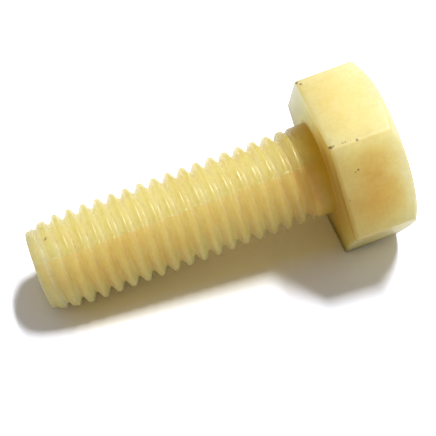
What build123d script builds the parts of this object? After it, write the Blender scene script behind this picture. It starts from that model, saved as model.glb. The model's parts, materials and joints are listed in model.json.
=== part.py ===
from build123d import *

import os
from math import asin, atan2, cos, degrees, hypot, radians, sin, sqrt, tan

# A hexagon head set screw moulded in one piece from nylon, threaded almost up to its head.
# It is modelled upright, with its axis on Z, the end of its tip on z = 0 and its head
# uppermost, and is then laid down as it comes to rest: on one edge of the head's bearing
# face and on a crest near the tip. Lengths are in millimetres and angles in degrees.

# Shank
LENGTH = 30.0  # from the bearing face to the end of the tip
CREST_DIAMETER = 9.55
NECK_DIAMETER = 9.5
NECK_LENGTH = 1.8  # plain stretch between the thread and the bearing face
NECK_CHAMFER = 0.25  # in the corner between the neck and the bearing face
TIP_CHAMFER = 0.25

# Thread, right-handed with one start
PITCH = 1.5
THREAD_DEPTH = 0.75
THREAD_ANGLE = 60.0  # between the flanks of one groove
CREST_WIDTH = 0.26
RIDGE_START = 0.06  # height of the ridge's first crossing of the plane of the head's corners
RUNOUT_ANGLE = 45.0  # slope of the shoulder that ends the last groove
RIDGE_FADE = 0.7  # length over which the ridge dies away beside the neck

# Lead-in, where the crests rise from the plain end of the tip to their full height
PILOT_LENGTH = 0.45
LEAD_STEP_LENGTH = 0.55  # the steep first part
LEAD_STEP_HEIGHT = 0.35
LEAD_LENGTH = 2.35  # the slow second part

# Head
ACROSS_FLATS = 16.85
HEAD_HEIGHT = 7.1
TOP_DIAMETER = 16.1  # flat circle inside the chamfer
CHAMFER_ANGLE = 30.0
HEAD_ASIDE = 0.24  # how far the head was moulded off the shank's axis, towards -Y
HEAD_LOW = 0.17  # and how far below that axis, as the screw lies
CORNER_ROUND = 0.25  # on the six upright corners
RIM_ROUND = 0.2  # round the rim of the bearing face

RIDGE_SINK = 0.12  # how far the ridge's foot lies inside the core

crest_radius = CREST_DIAMETER / 2
root_radius = crest_radius - THREAD_DEPTH
neck_radius = NECK_DIAMETER / 2
corner_radius = ACROSS_FLATS / sqrt(3)
thread_end = LENGTH - NECK_LENGTH
step_end = PILOT_LENGTH + LEAD_STEP_LENGTH
lead_end = step_end + LEAD_LENGTH


def lathe(*points):
    """A solid turned from this outline of (radius, height) points, closed along the axis."""
    (_, low), (_, high) = points[0], points[-1]
    outline = Polygon((0, low), *points, (0, high), align=None)
    return revolve(Plane.XZ * outline, Axis.Z)


def crest_at(height):
    """The radius of the crests at this height, which is less than full in the lead-in."""
    rise = (THREAD_DEPTH - LEAD_STEP_HEIGHT) * (height - step_end) / LEAD_LENGTH
    return min(crest_radius, root_radius + LEAD_STEP_HEIGHT + rise)


def half_ridge(radius):
    """Half the width of the thread's ridge at this distance from the axis."""
    return CREST_WIDTH / 2 + (crest_radius - radius) * tan(radians(THREAD_ANGLE / 2))


def make_core():
    """The shank below its thread: tip, root cylinder, shoulder and neck."""
    shoulder = (neck_radius - root_radius) / tan(radians(RUNOUT_ANGLE))
    return lathe(
        (root_radius - TIP_CHAMFER, 0),
        (root_radius, TIP_CHAMFER),
        (root_radius, thread_end - shoulder),
        (neck_radius, thread_end),
        (neck_radius, LENGTH - NECK_CHAMFER),
        (neck_radius + NECK_CHAMFER, LENGTH),
    )


def make_ridge():
    """The thread's ridge, one solid for each turn, cut down at the lead-in and at the neck."""
    foot = root_radius - RIDGE_SINK
    profile = Plane.XZ * Polygon(
        (foot, -half_ridge(foot)),
        (crest_radius, -CREST_WIDTH / 2),
        (crest_radius, CREST_WIDTH / 2),
        (foot, half_ridge(foot)),
        align=None,
    )
    turn = sweep(profile, path=Helix(PITCH, PITCH, crest_radius), is_frenet=True)
    lead_slope = (THREAD_DEPTH - LEAD_STEP_HEIGHT) / LEAD_LENGTH
    fade_slope = THREAD_DEPTH / (2 * RIDGE_FADE)
    limit = lathe(
        (root_radius, PILOT_LENGTH),
        (crest_at(step_end), step_end),
        (crest_radius + lead_slope * PITCH, lead_end + PITCH),
        (crest_radius + fade_slope * PITCH, thread_end - RIDGE_FADE - PITCH),
        (root_radius, thread_end + RIDGE_FADE),
    )
    turns = []
    base = RIDGE_START - PITCH
    while base < thread_end:
        whole = Pos(0, 0, base) * turn
        kept = whole & limit
        turns += kept.solids() if kept else []
        base += PITCH
    return turns


def make_head():
    """The hexagon, with two of its corners on the X axis, and its chamfer."""
    hexagon = RegularPolygon(ACROSS_FLATS / 2, 6, major_radius=False)
    head = extrude(Pos(0, 0, LENGTH) * hexagon, HEAD_HEIGHT)
    head = fillet(head.edges().filter_by(Axis.Z), CORNER_ROUND)
    head = fillet(head.edges().group_by(Axis.Z)[0], RIM_ROUND)
    top = LENGTH + HEAD_HEIGHT
    drop = (corner_radius - TOP_DIAMETER / 2) * tan(radians(CHAMFER_ANGLE))
    head = head & lathe(
        (corner_radius, LENGTH),
        (corner_radius, top - drop),
        (TOP_DIAMETER / 2, top),
    )
    return Pos(-HEAD_ASIDE, -HEAD_LOW, 0) * head


def rest_tilt():
    """The tilt at which the head's rim and one crest near the tip touch the floor together."""
    tilts = []
    height = RIDGE_START + 3 / 4 * PITCH
    while height < thread_end:
        run = LENGTH + RIM_ROUND - height
        fall = ACROSS_FLATS / 2 + HEAD_LOW - RIM_ROUND - crest_at(height)
        tilts.append(atan2(fall, run) + asin(RIM_ROUND / hypot(run, fall)))
        height += PITCH
    return min(tilts)


def lay_down(screw):
    """The screw as it lies, head towards +X, centred over the origin with the floor at z = 0."""
    tilt = rest_tilt()
    lying = Plane(origin=(0, 0, 0), x_dir=(0, 1, 0), z_dir=(cos(tilt), 0, sin(tilt)))
    screw = lying.location * screw
    box = screw.bounding_box()
    return Pos(-box.center().X, -box.center().Y, -box.min.Z) * screw


set_screw = lay_down(make_core().fuse(*make_ridge()) + make_head())
print(f"tilted by {degrees(rest_tilt()):.2f} degrees")

os.makedirs("parts", exist_ok=True)
export_step(set_screw, "parts/set_screw.step")
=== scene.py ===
import json
from contextlib import contextmanager
from math import cos, pi, radians, sin, sqrt, tan

import bmesh
import bpy
from mathutils import Matrix, Quaternion, Vector


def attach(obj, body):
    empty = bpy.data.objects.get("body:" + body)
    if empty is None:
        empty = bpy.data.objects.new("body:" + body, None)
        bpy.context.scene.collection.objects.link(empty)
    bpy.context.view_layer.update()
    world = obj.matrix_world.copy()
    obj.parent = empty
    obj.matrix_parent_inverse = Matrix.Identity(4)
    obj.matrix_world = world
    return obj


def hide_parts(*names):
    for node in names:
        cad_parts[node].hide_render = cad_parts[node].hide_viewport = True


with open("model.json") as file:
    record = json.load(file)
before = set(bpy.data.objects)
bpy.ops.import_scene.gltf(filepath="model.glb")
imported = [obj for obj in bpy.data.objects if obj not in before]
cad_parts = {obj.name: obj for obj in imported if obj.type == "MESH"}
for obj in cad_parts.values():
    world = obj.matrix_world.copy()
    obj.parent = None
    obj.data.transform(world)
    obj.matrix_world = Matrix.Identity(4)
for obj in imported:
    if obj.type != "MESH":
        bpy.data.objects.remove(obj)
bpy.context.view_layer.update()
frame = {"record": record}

bl_info = {
    "name": "Hex Head Set Screw",
    "version": (1, 0, 0),
    "blender": (4, 5, 0),
    "location": "View3D > Sidebar > Set Screw",
    "description": "Models a moulded nylon hex head set screw and the table top that it lies on",
    "category": "Object",
}

NODE = "set_screw"
MM = 0.001  # one millimetre in metres

# The thread's finer sizes, with its lengths in millimetres
SKIN = 0.003  # by which the crests stay inside the solid's
FLANK_ANGLE = radians(30)
CREST_ROUND = 0.15
ROOT_ROUND = 0.12
PARTING_BAND = 0.02  # half the width of the step along the parting line
THREAD_STEPS = 72  # flat faces round one turn
SPARE_TURNS = 2  # beyond each end, before the bar is cut
SPARE_TIP = 0.3  # what the cut leaves beyond the tip
SPARE_NECK = 1.2  # and beyond the thread's end
LEAD_STEP_HEIGHT = 0.35  # the crests' steep first rise
LEAD_STEP_LENGTH = 0.55
LEAD_LENGTH = 2.35  # their slow rise from there to full height
RUN_OUT = 1.4  # in which they fade towards the neck

# The plain parts' finer sizes, with their lengths in millimetres
PILOT_LENGTH = 0.45
PILOT_SWELL = 0.03  # by which the pilot is thicker than the thread's roots
PILOT_END = 0.6  # where it dives under the first turn
TIP_GAP = 0.01  # between the end of the tip and the solid's
TIP_ROUND = 0.25
CORE_SINK = 0.05  # the core's depth under the roots
CORE_START = 0.68
SHOULDER_LENGTH = 0.78  # the slope from the core up to the neck
SHOULDER_ROUND = 0.3
FLARE = 0.2  # how much the neck widens into the head
FLARE_REACH = 0.05  # to each side of the bearing face
FLARE_ROUND = 0.2
BURIED = 2.03  # length of shank inside the head
HALF_SIDE = radians(30)  # half the turn from one of the head's flats to the next
CORNER_ROUND = 0.144
RIM_ROUND = 0.2
TOP_RADIUS = 8.05  # of the head's flat top
CHAMFER_ANGLE = radians(30)
OUTSIDE = 12  # a radius beyond the head's corners
SPARE_TOP = 1  # what the chamfer's solid trims off the head
SPARE_BELOW = 2  # by which that solid reaches past the bearing face
VOXEL = 0.13  # the grid on which the head's edges are worn round
VOLUME_SLACK = 10  # cubic millimetres that joining head and shank may change

# The stage, with its lengths in metres
AIM = Vector((-0.32, -1.37, 6.85)) * MM  # what the camera and the lamp point at
TABLE_SIZE = 1.6
TABLE_SEEN = (1.47, 1.52, 1.7)  # the table top's tone to the camera, which makes it white
TABLE_SHINE = (0.95, 0.95, 0.95)  # its tone to what mirrors it
# A painted glow: the table top tinted yellow beside the screw, for light that passes through the
# nylon into its shadow.
PAINTED_GLOW_TINT = (1.0, 0.92, 0.56)
GLOW_LENGTH = 0.013  # half the length of the glow beside the screw
GLOW_REACH = 0.0035  # its full strength ends here
GLOW_FADE = 0.0018
LAMP_DIRECTION = Vector((0.37, 0.2, 1)).normalized()
LAMP_DISTANCE = 0.8
LAMP_WIDTH = radians(6.2)
LAMP_LENGTH = radians(25)
LAMP_LIGHT = 3.8  # watts on a square metre at the screw that faces the lamp
ROOM_LIGHT = 0.21

# The screw's own axes as it lies, from the places that the frame gives
mounts = {mount["name"]: mount for mount in frame["record"]["mounts"]}
tip_end = Vector(mounts["tip_end"]["pos_m"])
to_head = -Vector(mounts["tip_end"]["axis"]).normalized()
sideways = Vector((0, 1, 0))
upwards = to_head.cross(sideways)
bearing_place = Vector(mounts["bearing_face"]["pos_m"]) - tip_end
head_place = Vector(mounts["head_top"]["pos_m"]) - tip_end


def radius_of(name):
    """The radius that one of the frame's mounts gives, in metres."""
    return mounts[name]["dims"]["r_mm"] * MM


def length(name, default, description):
    """A property that holds a length in metres."""
    return bpy.props.FloatProperty(
        name=name, description=description, default=default, unit="LENGTH", precision=5
    )


def angle(name, degrees, description):
    """A property that holds an angle."""
    return bpy.props.FloatProperty(
        name=name, description=description, default=radians(degrees), unit="ROTATION"
    )


def colour(name, default, description):
    """A property that holds a colour."""
    return bpy.props.FloatVectorProperty(
        name=name, description=description, default=default, subtype="COLOR", size=3, min=0, max=1
    )


class ScrewSizes(bpy.types.PropertyGroup):
    """The sizes of the screw."""

    shank: length(
        "Shank", bearing_place.dot(to_head), "From the end of the tip to the bearing face"
    )
    crest: length("Crest radius", radius_of("thread"), "Radius of the thread's crests")
    neck: length("Neck radius", radius_of("neck"), "Radius of the plain neck")
    depth: length("Thread depth", 0.75 * MM, "From the crests down to the roots")
    pitch: length("Pitch", 1.5 * MM, "From one crest to the next")
    crest_width: length("Crest width", 0.42 * MM, "Width of the flat on the crests")
    start: length("Thread start", 0.06 * MM, "Height of the first crest, beside the first corner")
    neck_length: length("Neck length", 1.8 * MM, "Plain stretch between thread and head")
    mismatch: length("Mismatch", 0.05 * MM, "How far the mould's two halves were out of line")
    parting: angle("Parting line", 121, "Where the mould's halves met, from the first corner")
    half_flats: length("Half across flats", radius_of("hexagon"), "From the head's axis to a flat")
    head_end: length(
        "Head end", head_place.dot(to_head), "From the end of the tip to the head's top"
    )


class ScrewColours(bpy.types.PropertyGroup):
    """The colours of the nylon and of the table top."""

    nylon: colour("Nylon", (0.91, 0.77, 0.33), "Natural nylon that has yellowed")
    # This tint also serves as painted shade in the thick middle of the head's front.
    cloud: colour("Clouds", (0.865, 0.73, 0.48), "Tint of the darker clouds inside the nylon")
    speck: colour("Specks", (0.12, 0.09, 0.03), "Dirt caught in nicks along the edges")
    table: colour("Table top", (0.48, 0.48, 0.48), "Light that the table top throws back")


class ScrewView(bpy.types.PropertyGroup):
    """Where the camera and the lamp stand."""

    azimuth: angle("Azimuth", -106.164, "Direction of the camera round the screw")
    elevation: angle("Elevation", 50.640, "Height of the camera above the table top")
    roll: angle("Roll", -2.674, "Turn of the camera about its own line of sight")
    distance: length("Distance", 128.07 * MM, "From the camera to the point that it looks at")
    lens: bpy.props.FloatProperty(
        name="Lens", description="Focal length in millimetres", default=105.96
    )


def pick(piece):
    """Makes a piece the active one and the only one selected."""
    bpy.ops.object.select_all(action="DESELECT")
    bpy.context.view_layer.objects.active = piece
    piece.select_set(True)


@contextmanager
def editing(piece):
    """Edit mode on one piece, with nothing selected."""
    pick(piece)
    bpy.ops.object.mode_set(mode="EDIT")
    bpy.ops.mesh.select_all(action="DESELECT")
    yield bmesh.from_edit_mesh(piece.data)
    bpy.ops.object.mode_set(mode="OBJECT")


def applied(piece, kind, **settings):
    """The piece after a modifier with these settings."""
    modifier = piece.modifiers.new(kind.title(), kind)
    for key, value in settings.items():
        setattr(modifier, key, value)
    pick(piece)
    bpy.ops.object.modifier_apply(modifier=modifier.name)
    return piece


def check_closed(piece):
    """Stops the script if the piece's surface has gaps."""
    with editing(piece) as mesh:
        if not all(edge.is_manifold for edge in mesh.edges):
            raise RuntimeError(f"The surface of {piece.name} has gaps")


def combined(piece, other, operation):
    """The piece after a boolean with another, which it uses up."""
    applied(piece, "BOOLEAN", object=other, operation=operation, solver="MANIFOLD")
    bpy.data.objects.remove(other)
    check_closed(piece)
    return piece


def softened(corners):
    """Points along a line of (radius, height, rounding) corners, with each corner rounded."""
    places = [Vector(corner[:2]) for corner in corners]
    points = [places[0]]
    for before, here, after, corner in zip(places, places[1:], places[2:], corners[1:]):
        back, on = (before - here).normalized(), (after - here).normalized()
        reach = corner[2] / tan(back.angle(on) / 2)
        steps = (0, 0.25, 0.5, 0.75, 1) if reach else (0,)
        points += [here + reach * ((1 - t) ** 2 * back + t**2 * on) for t in steps]
    return points + [places[-1]]


def drawn(name, points):
    """An open line through (radius, height) points, drawn by extruding one vertex."""
    bpy.ops.object.select_all(action="DESELECT")
    bpy.ops.mesh.primitive_plane_add(size=1)
    line = bpy.context.object
    line.name = name
    with editing(line):
        bpy.ops.mesh.select_all(action="SELECT")
        bpy.ops.mesh.merge(type="CENTER")
        bpy.ops.mesh.select_all(action="SELECT")
        bpy.ops.transform.translate(value=(points[0].x, 0, points[0].y))
        for here, there in zip(points, points[1:]):
            step = (there.x - here.x, 0, there.y - here.y)
            bpy.ops.mesh.extrude_region_move(TRANSFORM_OT_translate={"value": step})
    return line


def volume_of(piece):
    """The volume inside a closed piece."""
    mesh = bmesh.new()
    mesh.from_mesh(piece.data)
    volume = mesh.calc_volume()
    mesh.free()
    return volume


def turned(name, corners, steps):
    """A closed solid turned from a line whose ends lie on the axis."""
    piece = drawn(name, softened(corners))
    with editing(piece):
        bpy.ops.mesh.select_all(action="SELECT")
        bpy.ops.mesh.spin(steps=steps, angle=2 * pi, center=(0, 0, 0), axis=(0, 0, 1))
        bpy.ops.mesh.select_all(action="SELECT")
        bpy.ops.mesh.remove_doubles(threshold=1e-4)
        bpy.ops.mesh.normals_make_consistent(inside=False)
    return piece


def cut(piece, height, keep_above):
    """The piece cut level at this height, with the cut closed."""
    with editing(piece):
        bpy.ops.mesh.select_all(action="SELECT")
        bpy.ops.mesh.bisect(
            plane_co=(0, 0, height),
            plane_no=(0, 0, 1),
            use_fill=True,
            clear_inner=keep_above,
            clear_outer=not keep_above,
            threshold=1e-5,
        )
        bpy.ops.mesh.select_all(action="SELECT")
        bpy.ops.mesh.normals_make_consistent(inside=False)


class Millimetres:
    """The screw's sizes in millimetres, the unit in which it is modelled."""

    def __init__(self, sizes):
        for name in ScrewSizes.__annotations__:
            setattr(self, name, getattr(sizes, name) / MM)
        self.crest -= SKIN
        self.parting = sizes.parting  # an angle
        self.root = self.crest - self.depth
        self.thread_end = self.shank - self.neck_length


def part_halves(bar, mm):
    """Shifts the half of the thread above the mould's parting line, with a small step there."""
    across = Vector((cos(mm.parting + pi / 2), sin(mm.parting + pi / 2), 0))
    with editing(bar) as mesh:
        for gap in (-PARTING_BAND, PARTING_BAND):
            bpy.ops.mesh.select_all(action="SELECT")
            bpy.ops.mesh.bisect(plane_co=gap * across, plane_no=across, threshold=1e-5)
        bpy.ops.mesh.select_all(action="DESELECT")
        bpy.ops.mesh.select_mode(type="VERT")
        for vert in mesh.verts:
            vert.select = vert.co.dot(across) < 0
        mesh.select_flush_mode()
        step = -across.cross(Vector((0, 0, 1))) * mm.mismatch + Vector((0, 0, mm.mismatch))
        bpy.ops.transform.translate(value=step)


def make_thread(mm):
    """A threaded bar that is longer than the thread at both ends."""
    crest, flank = mm.crest_width / 2, mm.depth * tan(FLANK_ANGLE)
    low = mm.start - SPARE_TURNS * mm.pitch
    profile = [
        (mm.crest, low, 0),
        (mm.crest, low + crest, CREST_ROUND),
        (mm.root, low + crest + flank, ROOT_ROUND),
        (mm.root, low + mm.pitch - crest - flank, ROOT_ROUND),
        (mm.crest, low + mm.pitch - crest, CREST_ROUND),
        (mm.crest, low + mm.pitch, 0),
    ]
    bar = drawn("thread", softened(profile))
    applied(
        bar,
        "SCREW",
        angle=2 * pi,
        screw_offset=mm.pitch,
        iterations=round(mm.shank / mm.pitch) + 2 * SPARE_TURNS,
        steps=THREAD_STEPS,
        render_steps=THREAD_STEPS,
    )
    with editing(bar):
        bpy.ops.mesh.select_all(action="SELECT")
        bpy.ops.mesh.remove_doubles(threshold=1e-3)
    cut(bar, -SPARE_TIP, keep_above=True)
    cut(bar, mm.thread_end + SPARE_NECK, keep_above=False)
    part_halves(bar, mm)
    return bar


def make_shank(mm):
    """The thread between its lead-in and its end, on the plain core with the neck."""
    lead = (mm.depth - LEAD_STEP_HEIGHT) / LEAD_LENGTH
    fade = mm.depth / RUN_OUT
    step_end = PILOT_LENGTH + LEAD_STEP_LENGTH
    envelope = [
        (0, PILOT_LENGTH, 0),
        (mm.root, PILOT_LENGTH, 0),
        (mm.root + LEAD_STEP_HEIGHT, step_end, CREST_ROUND),
        (mm.crest + lead, step_end + LEAD_LENGTH + 1, 0),
        (mm.crest + fade, mm.thread_end - RUN_OUT / 2 - 1, 0),
        (mm.root, mm.thread_end + RUN_OUT / 2, 0),
        (0, mm.thread_end + RUN_OUT / 2, 0),
    ]
    shank = combined(make_thread(mm), turned("envelope", envelope, steps=90), "INTERSECT")
    core = [
        (0, TIP_GAP, 0),
        (mm.root + PILOT_SWELL, TIP_GAP, TIP_ROUND),
        (mm.root + PILOT_SWELL, PILOT_END, 0),
        (mm.root - CORE_SINK, CORE_START, 0),
        (mm.root - CORE_SINK, mm.thread_end - SHOULDER_LENGTH, 0),
        (mm.neck, mm.thread_end, SHOULDER_ROUND),
        (mm.neck, mm.shank - FLARE_REACH, FLARE_ROUND),
        (mm.neck + FLARE, mm.shank + FLARE_REACH, 0),
        (mm.neck + FLARE, mm.shank + BURIED, 0),
        (0, mm.shank + BURIED, 0),
    ]
    return combined(shank, turned("core", core, steps=79), "UNION")


def make_head(mm):
    """The hexagon head with its chamfered top, each edge worn a little round."""
    height = mm.head_end - mm.shank + SPARE_TOP
    bpy.ops.object.select_all(action="DESELECT")
    bpy.ops.mesh.primitive_cylinder_add(
        vertices=6,
        radius=2 * mm.half_flats / sqrt(3),
        depth=height,
        location=(0, 0, mm.shank + height / 2),
        rotation=(0, 0, HALF_SIDE),
    )
    head = bpy.context.object
    head.name = "head"
    bpy.ops.object.transform_apply(location=True, rotation=True, scale=True)
    with editing(head) as mesh:
        for edge in mesh.edges:
            edge.select = abs(edge.verts[0].co.z - edge.verts[1].co.z) > 1
        bpy.ops.mesh.bevel(offset=CORNER_ROUND, segments=4)
        bpy.ops.mesh.select_all(action="DESELECT")
        for edge in mesh.edges:
            edge.select = max(vert.co.z for vert in edge.verts) < mm.shank + 0.01
        bpy.ops.mesh.bevel(offset=RIM_ROUND, segments=4)
    chamfer = [
        (0, mm.shank - SPARE_BELOW, 0),
        (OUTSIDE, mm.shank - SPARE_BELOW, 0),
        (OUTSIDE, mm.head_end - (OUTSIDE - TOP_RADIUS) * tan(CHAMFER_ANGLE), 0),
        (TOP_RADIUS, mm.head_end, 0),
        (0, mm.head_end, 0),
    ]
    combined(head, turned("chamfer", chamfer, steps=120), "INTERSECT")
    applied(head, "REMESH", mode="VOXEL", voxel_size=VOXEL)
    applied(head, "SMOOTH", factor=0.5, iterations=4)
    head.location = (head_place.dot(sideways) / MM, head_place.dot(upwards) / MM, 0)
    bpy.ops.object.transform_apply(location=True, rotation=True, scale=True)
    return head


class Shade:
    """A socket of a material's node tree, on which sums are written as in Python."""

    def __init__(self, tree, socket):
        self.tree, self.socket = tree, socket

    def sum(self, operation, *values):
        return node(self.tree, "ShaderNodeMath", {"operation": operation}, dict(enumerate(values)))

    def __add__(self, other):
        return self.sum("ADD", self, other)

    def __sub__(self, other):
        return self.sum("SUBTRACT", self, other)

    def __rsub__(self, other):
        return self.sum("SUBTRACT", other, self)

    def __mul__(self, other):
        return self.sum("MULTIPLY", self, other)

    def __truediv__(self, other):
        return self.sum("DIVIDE", self, other)

    __radd__ = __add__

    def size(self):
        return self.sum("ABSOLUTE", self)

    def root(self):
        return self.sum("SQRT", self)

    def sine(self):
        return self.sum("SINE", self)

    def exponent(self):
        return self.sum("EXPONENT", self)

    def at_least(self, other):
        return self.sum("MAXIMUM", self, other)

    def at_most(self, other):
        return self.sum("MINIMUM", self, other)

    def rise(self, low, high):
        """Goes smoothly from 0 at low to 1 at high, which may be the lower of the two."""
        settings = {"interpolation_type": "SMOOTHSTEP", "clamp": True}
        inputs = {"Value": self, "From Min": low, "From Max": high}
        return node(self.tree, "ShaderNodeMapRange", settings, inputs)

    def vector(self, operation, *values, output="Vector"):
        inputs = dict(enumerate((self, *values)))
        return node(self.tree, "ShaderNodeVectorMath", {"operation": operation}, inputs, output)

    def dot(self, axis):
        return self.vector("DOT_PRODUCT", axis, output="Value")

    def minus(self, place):
        return self.vector("SUBTRACT", place)

    def times(self, other):
        return self.vector("MULTIPLY", other)

    def far(self):
        return self.vector("LENGTH", output="Value")

    def noise(self, scale, detail):
        inputs = {"Vector": self, "Scale": scale, "Detail": detail}
        return node(self.tree, "ShaderNodeTexNoise", inputs=inputs)

    def blended(self, blend, mask, paint):
        settings = {"data_type": "RGBA", "blend_type": blend}
        inputs = {0: mask, 6: self, 7: (*paint, 1)}
        return node(self.tree, "ShaderNodeMix", settings, inputs, output=2)

    def tinted(self, mask, tint):
        """The colour multiplied by a tint where the mask is 1."""
        return self.blended("MULTIPLY", mask, tint)

    def covered(self, mask, paint):
        """The colour covered with another where the mask is 1."""
        return self.blended("MIX", mask, paint)


def node(tree, kind, settings=None, inputs=None, output=0):
    """Adds a node with its settings, then the values or links of its sockets."""
    made = tree.nodes.new(kind)
    for key, value in (settings or {}).items():
        setattr(made, key, value)
    for key, value in (inputs or {}).items():
        if isinstance(value, Shade):
            tree.links.new(value.socket, made.inputs[key])
        else:
            made.inputs[key].default_value = value
    return Shade(tree, made.outputs[output])


# Clouds inside the nylon, of which the first three are also painted shade in the thick middle of
# the head's front, and nicks with dirt in them, each with its place on the screw's own axes
# (sideways, upwards and from the end of the tip), its reach and its strength from 0 to 1.
# Places and reaches are in millimetres.
CLOUDS_AND_PAINTED_SHADE = (
    ((-5.6, 5.4, 33.8), 2.6, 0.6),
    ((-7.6, 2.4, 33.4), 2.8, 0.9),
    ((-8.6, -1.6, 32.6), 2.6, 0.55),
    ((7.6, 4.0, 34.0), 2.6, 0.6),
    ((6.0, -6.0, 33.4), 2.8, 0.6),
)
NICKS = (
    ((4.3, 8.3, 30.2), 0.22, 0.9),
    ((4.0, 8.3, 30.5), 0.16, 0.8),
    ((-4.8, 8.3, 30.2), 0.26, 0.9),
    ((-4.8, 8.3, 30.5), 0.17, 0.8),
    ((-4.8, 8.3, 31.4), 0.15, 0.45),
    ((-4.8, 8.3, 31.7), 0.12, 0.6),
    ((-4.8, 8.3, 32.2), 0.1, 0.5),
    ((-5.0, 8.3, 32.8), 0.19, 0.8),
    ((-6.5, 5.8, 32.1), 0.14, 0.6),
    ((-6.6, 5.7, 31.8), 0.12, 0.35),
    ((-6.7, 5.6, 31.5), 0.12, 0.25),
    ((-7.9, 3.5, 30.5), 0.14, 0.3),
    ((-8.9, -1.7, 30.1), 0.2, 0.6),
    ((-8.3, -3.1, 33.8), 0.15, 0.6),
    ((1.4, 4.3, 1.9), 0.14, 0.6),
    ((-0.2, 4.5, 2.0), 0.2, 0.8),
    ((-3.3, 2.7, 1.1), 0.12, 0.35),
)


def new_material(name):
    """A material, with its node tree and its shader."""
    material = bpy.data.materials.new(name)
    material.use_nodes = True
    tree = material.node_tree
    return material, tree, tree.nodes["Principled BSDF"]


class Places:
    """The screw's own axes, in millimetres, and the masks that its nylon's material needs."""

    def __init__(self, tree, mm):
        from_tip = node(tree, "ShaderNodeTexCoord", output="Object").minus(tip_end)
        self.point = from_tip.times((1 / MM,) * 3)
        self.x = self.point.dot(sideways)
        self.y = self.point.dot(upwards)
        self.z = self.point.dot(to_head)
        self.radius = (self.x * self.x + self.y * self.y).root()
        self.mottle = self.point.noise(0.55, 3.0)
        self.grain = self.point.noise(3.2, 3.0)
        self.mask_shank(mm)
        self.mask_head(mm)
        self.mask_parting_line(mm)
        self.dirt = 0
        for centre, reach, strength in NICKS:
            gap = self.far_from(centre) + (self.grain - 0.5) * reach * 2.5
            self.dirt = (gap.rise(reach * 1.1, reach * 0.5) * strength).at_least(self.dirt)

    def far_from(self, centre):
        """The distance from a place on the screw's own axes."""
        middle = centre[0] * sideways + centre[1] * upwards + centre[2] * to_head
        return self.point.minus(middle).far()

    def mask_shank(self, mm):
        """The shank, the neck's corner, the thread's turns, crests, sides and flanks."""
        x, y, z, radius = self.x, self.y, self.z, self.radius
        self.on_shank = z.rise(mm.shank + 0.05, mm.shank - 0.05)
        # Painted shade falls on the neck's corner beside the head, the last turns and the crests.
        self.corner = z.rise(mm.thread_end - 0.6, mm.shank) * self.on_shank
        self.turns_in_painted_shade = z.rise(mm.thread_end - 6.0, mm.thread_end - 0.5) * self.on_shank
        self.crest = radius.rise(mm.root, mm.crest) * self.on_shank
        self.threaded = z.rise(mm.thread_end + 1.0, mm.thread_end)
        self.threaded = self.threaded * radius.rise(mm.root - 0.5, mm.root - 0.1)
        # These masks carry painted light and shade on the thread.
        self.above = y.rise(2.6, 4.4) * self.threaded
        self.beneath = y.rise(3.0, -1.0) * self.threaded
        # The flanks' mask is above 0 where they face the neck and below 0 where they face the tip
        turn = (z - mm.start) * (2 * pi / mm.pitch) - 0.38 * pi
        self.flank = ((turn + pi / 2).sine() * x + turn.sine() * y) / radius.at_least(1)

    def mask_head(self, mm):
        """The front flat, the top flat, the rim and the bearing face."""
        x, y, z, shank = self.x, self.y, self.z, mm.shank
        outwards = y * sin(HALF_SIDE) - x * cos(HALF_SIDE)
        self.front = x.rise(-4.2, -6.2) * outwards.rise(7.5, 8.1)
        self.front = self.front * z.rise(shank - 0.1, shank - 0.02)
        self.top = y.rise(7.6, 8.1) * z.rise(shank - 0.1, shank)
        self.rim = z.rise(shank + 0.6, shank + 0.1) * z.rise(shank + 0.02, shank + 0.12)
        self.bearing = (z - shank).size().rise(0.12, 0.04)
        self.bearing = self.bearing * self.radius.rise(mm.neck + 0.1, mm.neck + 0.5)

    def mask_parting_line(self, mm):
        """The side below the mould's parting line, and the flash along the line."""
        side = self.y * cos(mm.parting) - self.x * sin(mm.parting)
        self.lower = side.rise(-0.1, 0.25)
        flash = (side.size() + (self.grain - 0.5) * 0.2).rise(0.13, 0.06)
        flash = flash * self.radius.rise(mm.crest - 0.35, mm.crest - 0.12)
        flash = flash * self.z.rise(mm.thread_end + 0.6, mm.thread_end)
        self.flash = flash * self.point.noise(1.1, 1.0).rise(0.52, 0.64)


def body_tints(at):
    """Mottling and grain all over, each with its mask."""
    return (
        (at.mottle.rise(0.35, 0.7) * 0.35, (1.0, 0.95, 0.82)),
        (at.grain.rise(0.42, 0.62) * 0.6, (0.97, 0.95, 0.90)),
        (at.point.noise(1.5, 3.0).rise(0.4, 0.6) * 0.6, (0.965, 0.945, 0.88)),
    )


def shank_tints(at):
    """Tints along the shank, mostly painted shade, each with its mask."""
    return (
        # Painted shade: the neck's corner beside the head, deep orange-brown.
        (at.corner, (0.83, 0.78, 0.085)),
        # Painted shade: the last turns darker towards the head.
        (at.turns_in_painted_shade, (0.92, 0.89, 0.84)),
        (at.z.rise(1.5, 0.6), (1.05, 0.94, 0.76)),  # the tip
        # Painted shade: the crests darker and deeper yellow, so that they stand out less from the
        # grooves.
        (at.crest, (0.92, 0.88, 0.62)),
    )


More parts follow.
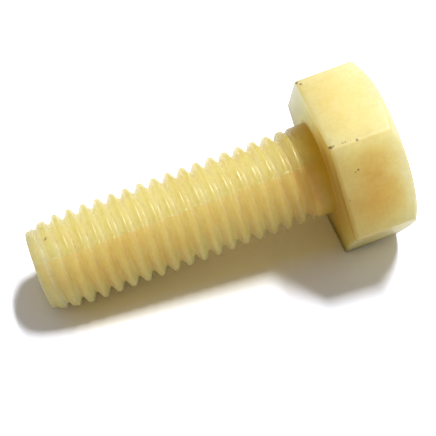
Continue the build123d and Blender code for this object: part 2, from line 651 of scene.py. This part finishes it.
def head_tints(at, mm):
    """Painted light and shade on the head's flats, its rim and its bearing face, each with its
    mask.
    """
    front, bearing, x, y, z = at.front, at.bearing, at.x, at.y, at.z
    return (
        # Painted shade: the front flat tan, the rim darkened over the bright line of its rounded
        # edge, the top flat toned down.
        (front, (1.01, 0.93, 0.78)),
        (at.rim * 0.5, (0.93, 0.88, 0.70)),
        (at.rim * front, (0.93, 0.90, 0.72)),
        (at.top, (0.99, 0.93, 0.87)),
        # Painted shade: a brown band along the front's edge at the bearing face, fading into tan
        # over a few millimetres.
        (z.rise(mm.shank + 0.45, mm.shank + 0.05) * front, (0.83, 0.795, 0.57)),
        (z.rise(mm.shank + 2.4, mm.shank + 0.6) * front, (0.98, 0.92, 0.85)),
        # Painted light and shade on the bearing face: golden all over, darker towards the front
        # and the top, and a painted golden glow on its lower part.
        (bearing, (0.96, 0.90, 0.70)),
        (bearing * x.rise(3.0, -6.0) * y.rise(-6.0, 4.0), (0.82, 0.74, 0.55)),
        (bearing * y.rise(3.0, -8.0), (1.06, 0.98, 0.66)),
    )


def thread_tints(at):
    """Tints of the thread and of both flanks of its ridge, mostly painted light and shade, each
    with its mask.
    """
    to_neck, to_tip = at.flank.rise(0.0, 1.0), at.flank.rise(0.0, -1.0)
    return (
        (at.threaded, (0.905, 0.93, 0.96)),
        # Painted shade: darker below the parting line.
        (at.lower * at.threaded, (1.05, 0.93, 0.84)),
        # Painted light: lighter underneath, from the table top.
        (at.y.rise(4.5, -0.5) * at.threaded, (1.20, 1.18, 1.15)),
        # Painted light and shade on the flanks: underneath, lighter where they face the neck and
        # darker where they face the tip; on top, the other way round.
        (to_neck * at.beneath, (1.12, 1.12, 1.13)),
        (to_tip * at.beneath, (0.90, 0.90, 0.89)),
        (to_tip * at.above, (1.02, 1.03, 1.07)),
        (to_neck * at.above, (0.93, 0.94, 0.96)),
    )


def nylon_tone(tree, at, colours, mm):
    """The nylon's colour, with its painted light and shade, kept just under white so that light
    still sinks in.
    """
    tone = node(tree, "ShaderNodeRGB")
    tone.socket.default_value = (*colours.nylon, 1)
    tone = tone.tinted(at.point.noise(0.22, 1.5).rise(0.4, 0.75) * 0.4, colours.cloud)
    # The listed clouds; the first three are partly painted shade in the thick middle of the head's
    # front.
    for centre, reach, strength in CLOUDS_AND_PAINTED_SHADE:
        gap = at.far_from(centre) + (at.mottle - 0.5) * 2.4
        tone = tone.tinted(gap.rise(reach * 1.35, reach * 0.3) * strength, colours.cloud)
    for mask, tint in (*body_tints(at), *shank_tints(at), *head_tints(at, mm)):
        tone = tone.tinted(mask, tint)
    # Painted light: the upper, back part of the bearing face pale, for light through the head's
    # corner and off the table top.
    painted_light_patch = at.bearing * at.x.rise(-3.5, 4.0) * at.y.rise(-7.0, 4.0)
    tone = tone.covered(painted_light_patch, (0.98, 0.90, 0.42))
    for mask, tint in thread_tints(at):
        tone = tone.tinted(mask, tint)
    tone = tone.covered(at.flash * 0.4, (0.96, 0.86, 0.44))
    tone = tone.covered(at.dirt, colours.speck)
    return tone.vector("MINIMUM", (0.98,) * 3)


def nylon_bump(tree, at):
    """The nylon's waviness, its grain, the raised flash and the nicks."""
    height = (at.point.noise(0.9, 2.0) - 0.5) * 0.06 + (at.grain - 0.5) * 0.012
    height = height + at.flash * 0.02 - at.dirt * 0.04
    inputs = {"Height": height, "Strength": 1.0, "Distance": MM}
    return node(tree, "ShaderNodeBump", inputs=inputs)


def nylon_roughness(at):
    """Shinier above, duller below the parting line, in the corner and on the bearing face."""
    dull = (at.corner * 0.15).at_least(at.bearing * 0.35).at_least(at.rim * 0.2)
    rough = 0.38 + at.lower * at.on_shank * 0.14 - at.above * 0.16 + dull
    return rough + (at.mottle - 0.5) * 0.2 + (at.grain - 0.5) * 0.1


def make_nylon(colours, mm):
    """Translucent yellowed nylon with clouds, a parting line, dirt in its nicks and painted light
    and shade.
    """
    material, tree, shader = new_material("nylon")
    at = Places(tree, mm)
    tree.links.new(nylon_tone(tree, at, colours, mm).socket, shader.inputs["Base Color"])
    tree.links.new(nylon_bump(tree, at).socket, shader.inputs["Normal"])
    tree.links.new(nylon_roughness(at).socket, shader.inputs["Roughness"])
    shader.subsurface_method = "RANDOM_WALK"
    shader.inputs["Subsurface Weight"].default_value = 1.0
    shader.inputs["Subsurface Radius"].default_value = (14, 14, 20)
    shader.inputs["Subsurface Scale"].default_value = MM
    shader.inputs["IOR"].default_value = 1.53
    return material


def make_table(colours):
    """The table top, white to the camera, with a painted yellow glow beside the screw."""
    bpy.ops.object.select_all(action="DESELECT")
    bpy.ops.mesh.primitive_plane_add(size=TABLE_SIZE)
    table = bpy.context.object
    table.name = "table_top"
    material, tree, shader = new_material("table_top")
    place = node(tree, "ShaderNodeTexCoord", output="Object")
    across, along = place.dot((0, 1, 0)), place.dot((1, 0, 0))
    beyond = (along.size() - GLOW_LENGTH).at_least(0)
    gap = (across * across + beyond * beyond).root()
    painted_glow = ((GLOW_REACH - gap) / GLOW_FADE).exponent().at_most(1)
    seen = node(tree, "ShaderNodeLightPath", output="Is Camera Ray")
    shine = node(tree, "ShaderNodeLightPath", output="Is Glossy Ray")
    tone = node(tree, "ShaderNodeRGB")
    tone.socket.default_value = (*colours.table, 1)
    tone = tone.covered(seen, TABLE_SEEN).covered(shine, TABLE_SHINE)
    # Painted light: the yellow glow beside the screw.
    tone = tone.tinted(painted_glow, PAINTED_GLOW_TINT)
    tree.links.new(tone.socket, shader.inputs["Base Color"])
    shader.inputs["Roughness"].default_value = 0.9
    shader.inputs["Specular IOR Level"].default_value = 0.1
    table.data.materials.append(material)


def make_camera(scene, view):
    """The camera, which looks down on the screw from the side."""
    level = cos(view.elevation)
    away = Vector((level * cos(view.azimuth), level * sin(view.azimuth), sin(view.elevation)))
    camera = bpy.data.objects.new("camera", bpy.data.cameras.new("camera"))
    scene.collection.objects.link(camera)
    turn = Quaternion((0, 0, 1), view.roll)
    camera.rotation_mode = "QUATERNION"
    camera.rotation_quaternion = (-away).to_track_quat("-Z", "Y") @ turn
    camera.location = AIM + away * view.distance
    camera.data.lens = view.lens
    camera.data.sensor_width = 36
    camera.data.clip_start = 0.005
    scene.camera = camera


def make_lamp(scene):
    """A long, narrow lamp high above the screw."""
    lamp = bpy.data.objects.new("lamp", bpy.data.lights.new("lamp", "AREA"))
    scene.collection.objects.link(lamp)
    lamp.location = AIM + LAMP_DIRECTION * LAMP_DISTANCE
    side = Vector((1, 0, 0)) - LAMP_DIRECTION * LAMP_DIRECTION.x
    side.normalize()
    axes = Matrix((side, LAMP_DIRECTION.cross(side), LAMP_DIRECTION)).transposed()
    lamp.rotation_euler = axes.to_euler()
    lamp.data.shape = "RECTANGLE"
    lamp.data.size = 2 * LAMP_DISTANCE * tan(LAMP_WIDTH / 2)
    lamp.data.size_y = 2 * LAMP_DISTANCE * tan(LAMP_LENGTH / 2)
    lamp.data.energy = LAMP_LIGHT * pi * LAMP_DISTANCE**2


def make_room(scene):
    """The room's faint warm light, in front of a background that the camera sees as white."""
    scene.world = bpy.data.worlds.new("room")
    scene.world.use_nodes = True
    tree = scene.world.node_tree
    seen = node(tree, "ShaderNodeLightPath", output="Is Camera Ray")
    warm = {"Color": (1, 0.97, 0.9, 1), "Strength": ROOM_LIGHT}
    plain = {"Color": (1, 1, 1, 1), "Strength": 1.0}
    light = node(tree, "ShaderNodeBackground", inputs=warm)
    white = node(tree, "ShaderNodeBackground", inputs=plain)
    both = node(tree, "ShaderNodeMixShader", inputs={0: seen, 1: light, 2: white})
    tree.links.new(both.socket, tree.nodes["World Output"].inputs["Surface"])


class SCREW_OT_model(bpy.types.Operator):
    """Models the screw in one piece and lays it down on the table top"""

    bl_idname = "screw.model"
    bl_label = "Model the Screw"

    def execute(self, context):
        mm = Millimetres(context.scene.screw_sizes)
        shank, head = make_shank(mm), make_head(mm)
        shared = pi * (mm.neck + FLARE) ** 2 * BURIED
        whole = volume_of(shank) + volume_of(head) - shared
        screw = combined(shank, head, "UNION")
        with editing(screw):
            bpy.ops.mesh.select_all(action="SELECT")
            bpy.ops.mesh.remove_doubles(threshold=5e-4)
            bpy.ops.mesh.dissolve_degenerate(threshold=5e-4)
            bpy.ops.mesh.select_all(action="SELECT")
            bpy.ops.mesh.quads_convert_to_tris()
        check_closed(screw)
        if abs(volume_of(screw) - whole) > VOLUME_SLACK:
            raise RuntimeError("The head and the shank didn't join cleanly")
        screw.name = "nylon_screw"
        screw.data.name = "nylon_screw"
        axes = Matrix((sideways, upwards, to_head)).transposed().to_4x4()
        screw.matrix_world = Matrix.Translation(tip_end) @ axes @ Matrix.Scale(MM, 4)
        pick(screw)
        bpy.ops.object.transform_apply(location=True, rotation=True, scale=True)
        bpy.ops.object.shade_smooth_by_angle(angle=radians(35))
        screw.data.materials.clear()
        screw.data.materials.append(make_nylon(context.scene.screw_colours, mm))
        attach(screw, "root")
        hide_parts(NODE)
        return {"FINISHED"}


class SCREW_OT_stage(bpy.types.Operator):
    """Sets the table top, the light and the camera"""

    bl_idname = "screw.stage"
    bl_label = "Set the Stage"

    def execute(self, context):
        scene = context.scene
        make_table(scene.screw_colours)
        make_camera(scene, scene.screw_view)
        make_lamp(scene)
        make_room(scene)
        scene.view_settings.view_transform = "Standard"
        return {"FINISHED"}


GROUPS = {
    "screw_sizes": ScrewSizes,
    "screw_colours": ScrewColours,
    "screw_view": ScrewView,
}


class SCREW_PT_panel(bpy.types.Panel):
    """Lists what the add-on makes"""

    bl_idname = "SCREW_PT_panel"
    bl_label = "Hex Head Set Screw"
    bl_space_type = "VIEW_3D"
    bl_region_type = "UI"
    bl_category = "Set Screw"

    def draw(self, context):
        for name, group in GROUPS.items():
            for each in group.__annotations__:
                self.layout.prop(getattr(context.scene, name), each)
        self.layout.operator(SCREW_OT_model.bl_idname)
        self.layout.operator(SCREW_OT_stage.bl_idname)


CLASSES = (*GROUPS.values(), SCREW_OT_model, SCREW_OT_stage, SCREW_PT_panel)


def register():
    """Adds the classes, and the groups of sizes, colours and views to the scene."""
    for each in CLASSES:
        bpy.utils.register_class(each)
    for name, group in GROUPS.items():
        setattr(bpy.types.Scene, name, bpy.props.PointerProperty(type=group))


def unregister():
    """Takes away what register added."""
    for name in GROUPS:
        delattr(bpy.types.Scene, name)
    for each in reversed(CLASSES):
        bpy.utils.unregister_class(each)


def main():
    """Makes the screw and its stage."""
    register()
    bpy.ops.screw.model()
    bpy.ops.screw.stage()


if __name__ == "__main__":
    main()
